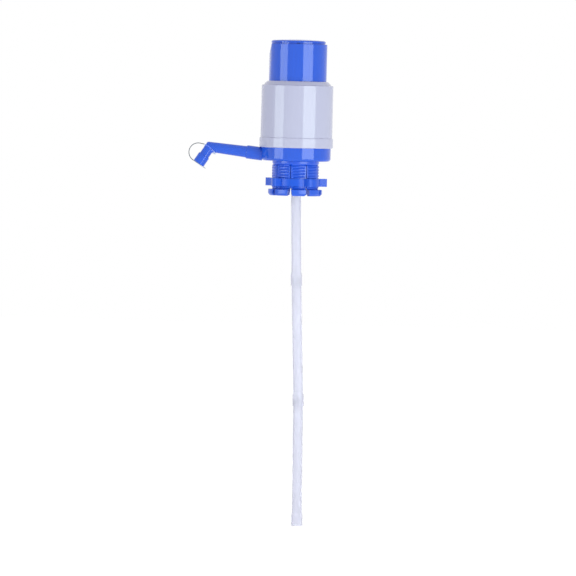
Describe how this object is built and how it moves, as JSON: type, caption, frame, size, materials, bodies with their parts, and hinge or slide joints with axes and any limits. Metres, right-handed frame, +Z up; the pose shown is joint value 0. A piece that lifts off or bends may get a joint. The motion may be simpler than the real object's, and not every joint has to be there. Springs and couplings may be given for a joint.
{
  "type": "bottle hand pump",
  "caption": "Press-top bellows pump for a large water bottle, with slotted neck collar, clamp nut, angled spout with tethered dust cap, and a three-length dip tube.",
  "frame": {"origin": "centre of the neck gasket's underside, the face that the bottle's rim seats on", "axes": "+Z up along the pump to the press cap, the spout points to -X, Y across"},
  "size_m": [0.1933, 0.0988, 0.6529],
  "materials": {
    "blue_gloss": "polished moulded ABS, royal blue",
    "white_gloss": "polished moulded ABS, cool white",
    "tube_clear": "milky translucent polyethylene",
    "strap_clear": "translucent soft polyethylene",
    "ring_clear": "clear soft polyethylene",
    "bellows_white": "blown low-density polyethylene",
    "inner_white": "moulded polypropylene",
    "rubber_soft": "soft silicone",
    "spring_steel": "drawn stainless wire"
  },
  "bodies": {
    "pump": {"base": "blue_gloss", "neck_collar": "blue_gloss", "neck_gasket": "rubber_soft", "valve_plate": "inner_white", "outlet_valve_cage": "inner_white", "pump_barrel": "white_gloss", "bellows": "bellows_white", "bellows_clamp_ring": "inner_white", "return_spring": "spring_steel", "spout_arm": "blue_gloss", "spout_seal": "rubber_soft", "spout_nozzle": "blue_gloss", "strap_ring": "ring_clear", "cap_strap": "strap_clear", "dip_tube_upper": "tube_clear", "dip_tube_middle": "tube_clear", "dip_tube_lower": "tube_clear"},
    "plunger": {"press_cap": "blue_gloss", "cap_lid": "blue_gloss", "inlet_valve_cage": "inner_white", "bellows_top_ring": "inner_white"},
    "inlet_valve": {"inlet_valve_disc": "rubber_soft"},
    "outlet_valve": {"outlet_valve_disc": "rubber_soft"},
    "nut": {"clamp_nut": "blue_gloss"},
    "dust_cap": {"mouth_cap": "strap_clear"}
  },
  "joints": [
    {"name": "cap_press", "type": "slide", "parent": "pump", "child": "plunger", "axis": [0, 0, -1], "range_m": [0, 0.045], "stiffness_N_per_m": 450, "springref_m": -0.02, "deforming": ["bellows", "return_spring"]},
    {"name": "inlet_valve_lift", "type": "slide", "parent": "plunger", "child": "inlet_valve", "axis": [0, 0, 1], "range_m": [0, 0.0014]},
    {"name": "outlet_valve_lift", "type": "slide", "parent": "pump", "child": "outlet_valve", "axis": [0, 0, 1], "range_m": [0, 0.0014]},
    {"name": "nut_turn", "type": "hinge", "parent": "pump", "child": "nut", "pos_m": [0, 0, -0.025], "axis": [0, 0, 1], "range_deg": [-330, 750]},
    {"name": "mouth_cap_pull", "type": "slide", "parent": "pump", "child": "dust_cap", "axis": [-0.5505, 0, -0.8348], "range_m": [0, 0.009], "deforming": ["cap_strap"]}
  ]
}
